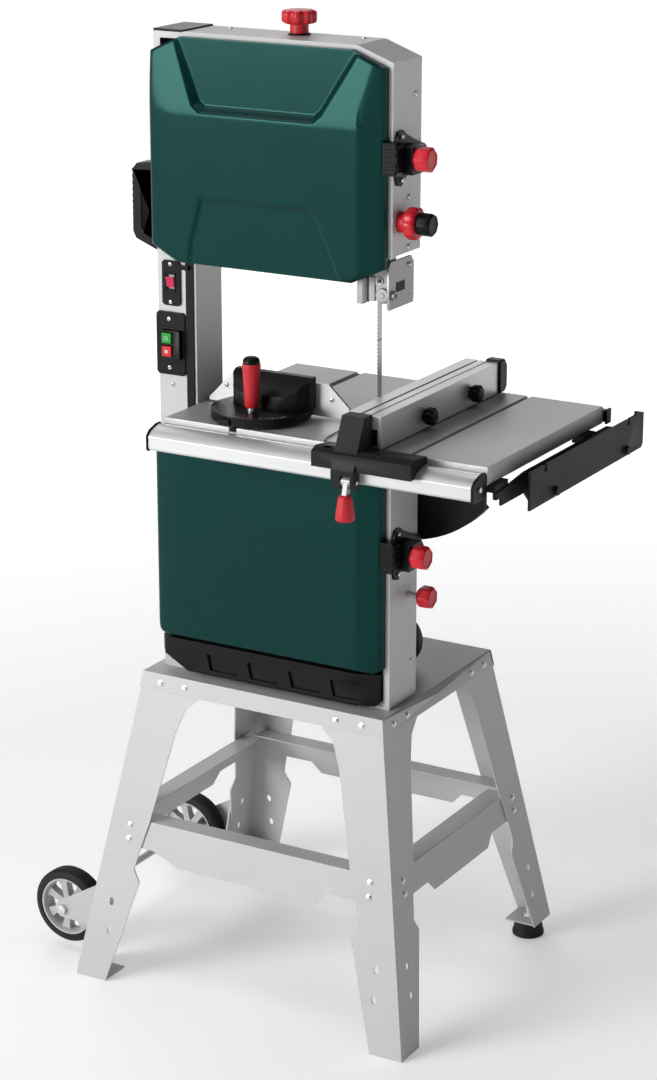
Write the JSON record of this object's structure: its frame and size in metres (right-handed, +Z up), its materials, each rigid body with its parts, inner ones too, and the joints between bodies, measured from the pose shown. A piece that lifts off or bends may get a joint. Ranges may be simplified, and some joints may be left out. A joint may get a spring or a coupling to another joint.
{
  "type": "upright band saw",
  "caption": "Upright two-wheel wood band saw on a splayed sheet-metal stand, with hinged wheel doors, tilting table, rip fence, mitre gauge and transport wheels.",
  "frame": {"origin": "centre of the whole part's footprint box, on the floor", "axes": "+Z up, -Y the front with the two wheel doors, +X the throat side where the table stands out"},
  "size_m": [0.889, 0.5814, 1.571],
  "materials": {
    "stand_top_tray": "satin",
    "leg_front_right": "satin",
    "leg_front_left": "satin",
    "leg_rear_right": "satin",
    "leg_rear_left": "satin",
    "brace_front": "satin",
    "brace_rear": "satin",
    "brace_right": "satin",
    "brace_left": "satin",
    "rubber_foot_right": "matte",
    "rubber_foot_left": "matte",
    "caster_axle": "satin",
    "caster_wheel_front": "matte",
    "caster_wheel_rear": "matte",
    "lower_housing": "satin",
    "column": "satin",
    "upper_housing": "satin",
    "top_cap": "matte",
    "band_cover_strip": "matte",
    "dust_skirt": "matte",
    "carry_handle": "matte",
    "motor": "satin",
    "motor_pulley": "satin",
    "drive_belt": "matte",
    "saw_band": "satin",
    "lower_band_wheel": "satin",
    "upper_band_wheel": "satin",
    "tension_carriage": "matte",
    "tension_knob": "gloss",
    "upper_door": "gloss",
    "lower_door": "gloss",
    "upper_latch_bracket": "satin",
    "lower_latch_bracket": "satin",
    "upper_latch_knob": "gloss",
    "lower_latch_knob": "gloss",
    "post_lock_ring": "gloss",
    "belt_tension_knob": "gloss",
    "post_height_knob": "satin",
    "guide_post": "satin",
    "band_guide": "satin",
    "lamp_switch_plate": "matte",
    "main_switch": "matte",
    "lamp_rocker": "gloss",
    "stop_button": "gloss",
    "start_button": "gloss",
    "saw_table": "satin",
    "table_insert": "satin",
    "front_rail": "satin",
    "rear_rail": "satin",
    "trunnion": "matte",
    "trunnion_cradle": "matte",
    "tilt_lock_knob": "satin",
    "fence_profile": "satin",
    "fence_head": "satin",
    "fence_lever": "gloss",
    "gauge_bar": "satin",
    "gauge_body": "matte",
    "gauge_plate": "satin",
    "gauge_handle": "gloss",
    "side_bracket": "satin"
  },
  "bodies": {
    "frame": {"stand_top_tray": "stand_top_tray", "leg_front_right": "leg_front_right", "leg_front_left": "leg_front_left", "leg_rear_right": "leg_rear_right", "leg_rear_left": "leg_rear_left", "brace_front": "brace_front", "brace_rear": "brace_rear", "brace_right": "brace_right", "brace_left": "brace_left", "rubber_foot_right": "rubber_foot_right", "rubber_foot_left": "rubber_foot_left", "caster_axle": "caster_axle", "lower_housing": "lower_housing", "column": "column", "upper_housing": "upper_housing", "top_cap": "top_cap", "band_cover_strip": "band_cover_strip", "dust_skirt": "dust_skirt", "carry_handle": "carry_handle", "motor": "motor", "drive_belt": "drive_belt", "saw_band": "saw_band", "upper_latch_bracket": "upper_latch_bracket", "lower_latch_bracket": "lower_latch_bracket", "lamp_switch_plate": "lamp_switch_plate", "main_switch": "main_switch", "trunnion_cradle": "trunnion_cradle"},
    "caster_front": {"caster_wheel_front": "caster_wheel_front"},
    "caster_rear": {"caster_wheel_rear": "caster_wheel_rear"},
    "motor_pulley": {"motor_pulley": "motor_pulley"},
    "lower_wheel": {"lower_band_wheel": "lower_band_wheel"},
    "tension_carriage": {"tension_carriage": "tension_carriage"},
    "upper_wheel": {"upper_band_wheel": "upper_band_wheel"},
    "tension_knob": {"tension_knob": "tension_knob"},
    "upper_door": {"upper_door": "upper_door"},
    "lower_door": {"lower_door": "lower_door"},
    "upper_latch_knob": {"upper_latch_knob": "upper_latch_knob"},
    "lower_latch_knob": {"lower_latch_knob": "lower_latch_knob"},
    "post_lock_ring": {"post_lock_ring": "post_lock_ring"},
    "post_height_knob": {"post_height_knob": "post_height_knob"},
    "belt_tension_knob": {"belt_tension_knob": "belt_tension_knob"},
    "guide": {"guide_post": "guide_post", "band_guide": "band_guide"},
    "lamp_rocker": {"lamp_rocker": "lamp_rocker"},
    "start_button": {"start_button": "start_button"},
    "stop_button": {"stop_button": "stop_button"},
    "table": {"saw_table": "saw_table", "table_insert": "table_insert", "front_rail": "front_rail", "rear_rail": "rear_rail", "trunnion": "trunnion", "side_bracket": "side_bracket"},
    "tilt_lock_knob": {"tilt_lock_knob": "tilt_lock_knob"},
    "fence": {"fence_profile": "fence_profile", "fence_head": "fence_head"},
    "fence_lever": {"fence_lever": "fence_lever"},
    "gauge_bar": {"gauge_bar": "gauge_bar"},
    "gauge": {"gauge_body": "gauge_body", "gauge_plate": "gauge_plate"},
    "gauge_handle": {"gauge_handle": "gauge_handle"}
  },
  "joints": [
    {"name": "caster_front_roll", "type": "hinge", "parent": "frame", "child": "caster_front", "pos_m": [-0.3805, -0.17015, 0.081], "axis": [0, 1, 0], "continuous": true},
    {"name": "caster_rear_roll", "type": "hinge", "parent": "frame", "child": "caster_rear", "pos_m": [-0.3805, 0.19985, 0.081], "axis": [0, 1, 0], "continuous": true},
    {"name": "lower_wheel_spin", "type": "hinge", "parent": "frame", "child": "lower_wheel", "pos_m": [-0.006, -0.08015, 0.73], "axis": [0, 1, 0], "continuous": true},
    {"name": "motor_pulley_spin", "type": "hinge", "parent": "frame", "child": "motor_pulley", "pos_m": [0.1095, -0.06165, 0.568], "axis": [0, 1, 0], "continuous": true},
    {"name": "tension_screw", "type": "hinge", "parent": "frame", "child": "tension_knob", "pos_m": [0.001, -0.05715, 1.543], "axis": [0, 0, 1], "range_deg": [-1711, 0]},
    {"name": "tension_slide", "type": "slide", "parent": "frame", "child": "tension_carriage", "axis": [0, 0, 1], "range_m": [-0.0095, 0]},
    {"name": "upper_wheel_spin", "type": "hinge", "parent": "tension_carriage", "child": "upper_wheel", "pos_m": [-0.006, -0.08015, 1.363], "axis": [0, 1, 0], "continuous": true},
    {"name": "upper_door_hinge", "type": "hinge", "parent": "frame", "child": "upper_door", "pos_m": [-0.2255, -0.11065, 1.358], "axis": [0, 0, -1], "range_deg": [0, 105]},
    {"name": "lower_door_hinge", "type": "hinge", "parent": "frame", "child": "lower_door", "pos_m": [-0.2255, -0.11065, 0.746], "axis": [0, 0, -1], "range_deg": [0, 105]},
    {"name": "upper_latch_turn", "type": "hinge", "parent": "frame", "child": "upper_latch_knob", "pos_m": [0.2365, -0.10215, 1.375], "axis": [1, 0, 0], "continuous": true},
    {"name": "lower_latch_turn", "type": "hinge", "parent": "frame", "child": "lower_latch_knob", "pos_m": [0.2365, -0.10215, 0.771], "axis": [1, 0, 0], "continuous": true},
    {"name": "post_lock_turn", "type": "hinge", "parent": "frame", "child": "post_lock_ring", "pos_m": [0.2085, -0.09215, 1.278], "axis": [1, 0, 0], "continuous": true},
    {"name": "post_height_turn", "type": "hinge", "parent": "frame", "child": "post_height_knob", "pos_m": [0.2295, -0.09215, 1.278], "axis": [1, 0, 0], "range_deg": [-597, 0]},
    {"name": "guide_slide", "type": "slide", "parent": "frame", "child": "guide", "axis": [0, 0, 1], "range_m": [-0.125, 0]},
    {"name": "belt_tension_turn", "type": "hinge", "parent": "frame", "child": "belt_tension_knob", "pos_m": [0.2195, -0.05615, 0.692], "axis": [1, 0, 0], "continuous": true},
    {"name": "lamp_rocker_tilt", "type": "hinge", "parent": "frame", "child": "lamp_rocker", "pos_m": [-0.1935, -0.11815, 1.1515], "axis": [1, 0, 0], "range_deg": [-7, 7]},
    {"name": "start_press", "type": "slide", "parent": "frame", "child": "start_button", "axis": [0, 1, 0], "range_m": [0, 0.003], "stiffness_N_per_m": 300},
    {"name": "stop_press", "type": "slide", "parent": "frame", "child": "stop_button", "axis": [0, 1, 0], "range_m": [0, 0.003], "stiffness_N_per_m": 300},
    {"name": "table_tilt", "type": "hinge", "parent": "frame", "child": "table", "pos_m": [0.1515, -0.01815, 0.965], "axis": [0, 1, 0], "range_deg": [0, 45]},
    {"name": "tilt_lock_turn", "type": "hinge", "parent": "frame", "child": "tilt_lock_knob", "pos_m": [0.03901, 0.01085, 0.83094], "axis": [0, 1, 0], "continuous": true},
    {"name": "fence_slide", "type": "slide", "parent": "table", "child": "fence", "axis": [1, 0, 0], "range_m": [-0.015, 0.09]},
    {"name": "fence_lever_lift", "type": "hinge", "parent": "fence", "child": "fence_lever", "pos_m": [0.2055, -0.26715, 0.928], "axis": [-1, 0, 0], "range_deg": [0, 70]},
    {"name": "gauge_slide", "type": "slide", "parent": "table", "child": "gauge_bar", "axis": [0, 1, 0], "range_m": [-0.06, 0.12]},
    {"name": "gauge_swivel", "type": "hinge", "parent": "gauge_bar", "child": "gauge", "pos_m": [-0.0175, -0.14315, 0.99], "axis": [0, 0, 1], "range_deg": [-60, 60]},
    {"name": "gauge_handle_turn", "type": "hinge", "parent": "gauge", "child": "gauge_handle", "pos_m": [-0.0175, -0.17015, 1.029], "axis": [0, 0, 1], "continuous": true}
  ],
  "couplings": [
    {"joint": "upper_wheel_spin", "follows": "lower_wheel_spin", "ratio": 1},
    {"joint": "motor_pulley_spin", "follows": "lower_wheel_spin", "ratio": 3.3333},
    {"joint": "tension_screw", "follows": "tension_slide", "rad_per_m": 3141.6},
    {"joint": "post_height_turn", "follows": "guide_slide", "rad_per_m": 83.333}
  ]
}
